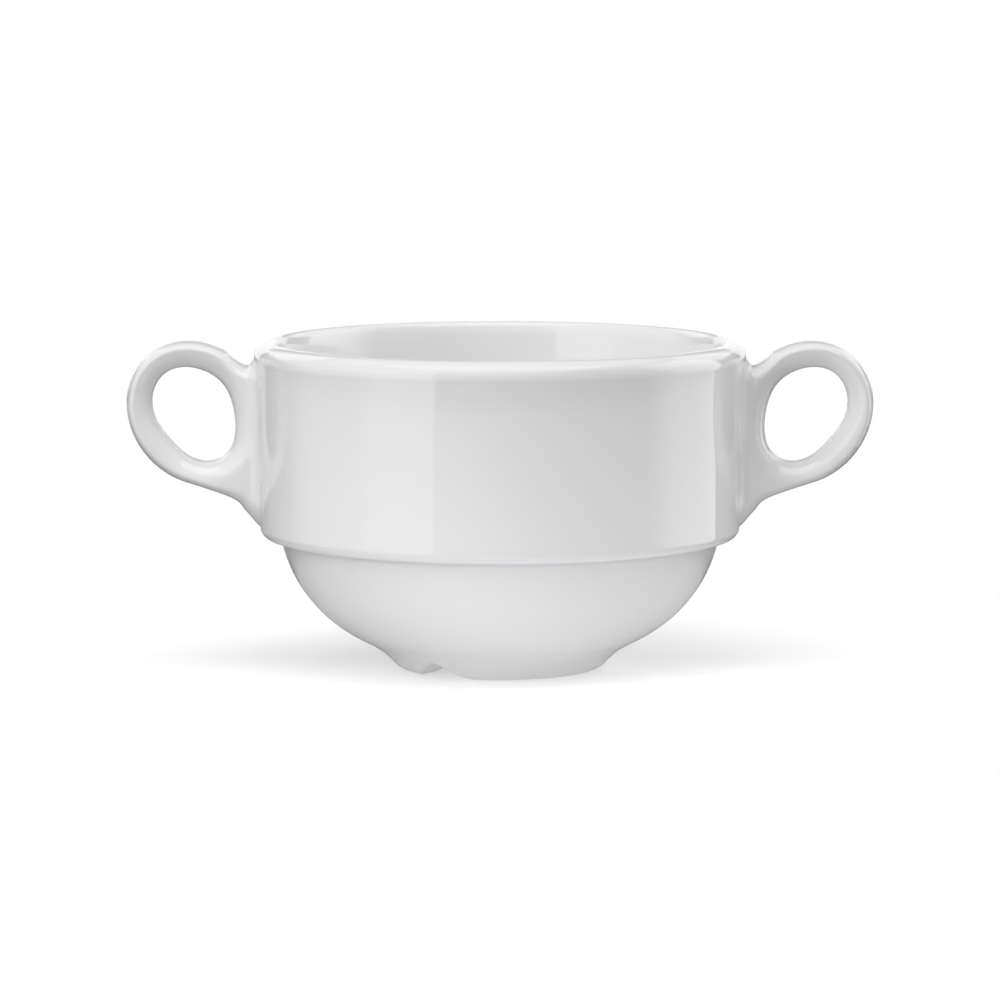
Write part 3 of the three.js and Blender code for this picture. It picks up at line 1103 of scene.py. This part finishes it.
    def _tent_cloth(self) -> bpy.types.Material:
        """Builds the tent's cloth, with its panes by azimuth and height.

        Returns:
            The material.
        """
        material = empty_material("tent_cloth")
        tree = material.node_tree
        place = add_node(tree, "ShaderNodeTexCoord").outputs["Object"]
        axes = add_node(tree, "ShaderNodeSeparateXYZ", {"Vector": place}).outputs
        ahead = add_node(tree, "ShaderNodeMath", {0: axes["Y"], 1: -1.0}, operation="MULTIPLY")
        azimuth = add_node(tree, "ShaderNodeMath", {
            0: axes["X"], 1: ahead.outputs["Value"]}, operation="ARCTAN2").outputs["Value"]
        total = 0.0
        for pane in self.panes:
            left, right = math.radians(pane.left_deg), math.radians(pane.right_deg)
            edges = (
                (azimuth, left, math.radians(pane.left_deg + pane.left_soft_deg)),
                (azimuth, right, math.radians(pane.right_deg - pane.right_soft_deg)),
                (axes["Z"], pane.bottom * MM, (pane.bottom + pane.soft) * MM),
                (axes["Z"], pane.top * MM, (pane.top - pane.soft) * MM),
            )
            strength = add_node(tree, "ShaderNodeMapRange", {
                "Value": axes["Z"], "From Min": -pane.soft / 2 * MM, "From Max": 0.0,
                "To Min": pane.low_radiance, "To Max": pane.radiance}).outputs["Result"]
            for value, dark, full in edges:
                edge = add_node(tree, "ShaderNodeMapRange", {
                    "Value": value, "From Min": dark, "From Max": full}, interpolation_type="SMOOTHSTEP")
                strength = add_node(tree, "ShaderNodeMath", {
                    0: strength, 1: edge.outputs["Result"]}, operation="MULTIPLY").outputs["Value"]
            total = add_node(tree, "ShaderNodeMath", {
                0: total, 1: strength}, operation="ADD").outputs["Value"]
        cloth = add_node(tree, "ShaderNodeEmission", {"Strength": total})
        add_node(tree, "ShaderNodeOutputMaterial", {"Surface": cloth.outputs["Emission"]})
        return material

    def _softboxes(self) -> None:
        """Hangs a broad soft light over the cup, and stands a low one behind it for its back.

        The glaze doesn't mirror the low one.
        """
        above = (0, -self.overhead_forward * MM, self.overhead_height * MM)
        self._softbox("overhead_softbox", above, 0.0, self.overhead_size, self.overhead_radiance)
        behind = (0, self.rear_distance * MM, self.rear_height * MM)
        rear = self._softbox("rear_softbox", behind, -math.pi / 2, self.rear_size, self.rear_radiance)
        rear.visible_glossy = False

    def _softbox(self, name: str, place: tuple[float, float, float], tilt: float,
                 size: Point, radiance: float) -> bpy.types.Object:
        """Sets up one soft light that the camera doesn't see.

        Args:
            name: the lamp's name.
            place: its middle, in metres.
            tilt: turn about X from pointing straight down, in radians.
            size: its width and length in millimetres.
            radiance: how bright its face is.

        Returns:
            The lamp.
        """
        bpy.ops.object.light_add(type="AREA", location=place, rotation=(tilt, 0, 0))
        lamp = bpy.context.object
        lamp.name = name
        lamp.data.shape = "RECTANGLE"
        lamp.data.size = size[0] * MM
        lamp.data.size_y = size[1] * MM
        lamp.data.energy = radiance * math.pi * lamp.data.size * lamp.data.size_y
        lamp.visible_camera = False
        return lamp

    def _surroundings(self) -> None:
        """Makes the surroundings white to the eye and in reflections, and softer as a light."""
        world = bpy.data.worlds.new("white_surroundings")
        world.use_nodes = True
        tree = world.node_tree
        tree.nodes.clear()
        rays = add_node(tree, "ShaderNodeLightPath").outputs
        seen = rays["Is Camera Ray"]
        for kind in ("Is Glossy Ray", "Is Transmission Ray"):
            seen = add_node(tree, "ShaderNodeMath", {
                0: seen, 1: rays[kind]}, operation="MAXIMUM").outputs["Value"]
        strength = add_node(tree, "ShaderNodeMapRange", {
            "Value": seen, "To Min": self.sky_glow, "To Max": 1.0})
        sky = add_node(tree, "ShaderNodeBackground", {
            "Color": linear_colour(self.sky), "Strength": strength.outputs["Result"]})
        add_node(tree, "ShaderNodeOutputWorld", {"Surface": sky.outputs["Background"]})
        bpy.context.scene.world = world

    def _camera(self) -> None:
        """Puts the camera where the photograph was taken from."""
        elevation = math.radians(self.camera_elevation_deg)
        distance = self.camera_distance * MM
        camera = bpy.data.cameras.new("studio_camera")
        camera.sensor_width = self.sensor
        camera.lens = self.pixels_per_mm * self.camera_distance / self.image_pixels * self.sensor
        stand = bpy.data.objects.new("studio_camera", camera)
        stand.location = Vector((
            0, -distance * math.cos(elevation), self.aim_height * MM + distance * math.sin(elevation)))
        stand.rotation_euler = (math.pi / 2 - elevation, 0, 0)
        bpy.context.scene.collection.objects.link(stand)
        bpy.context.scene.camera = stand


def main() -> None:
    """Builds the cup and its studio."""
    logging.basicConfig(level=logging.INFO, format="%(name)s: %(message)s")
    glaze = GlazedPorcelain().material()
    bare = GroundPorcelain().material()
    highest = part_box("cup_body")[1]
    cup = CupBody(widest=highest.x / MM + LIP_ROLL, height=highest.z / MM)
    body = cup.build()
    cup.dress(body, glaze, bare)
    log.info("%s: %d faces", body.name, len(body.data.polygons))
    handle = RingHandle(cup)
    for side in Side:
        piece = handle.build(side)
        handle.dress(piece, side, glaze)
        log.info("%s: %d faces", piece.name, len(piece.data.polygons))
    Studio().build()


if __name__ == "__main__":
    main()
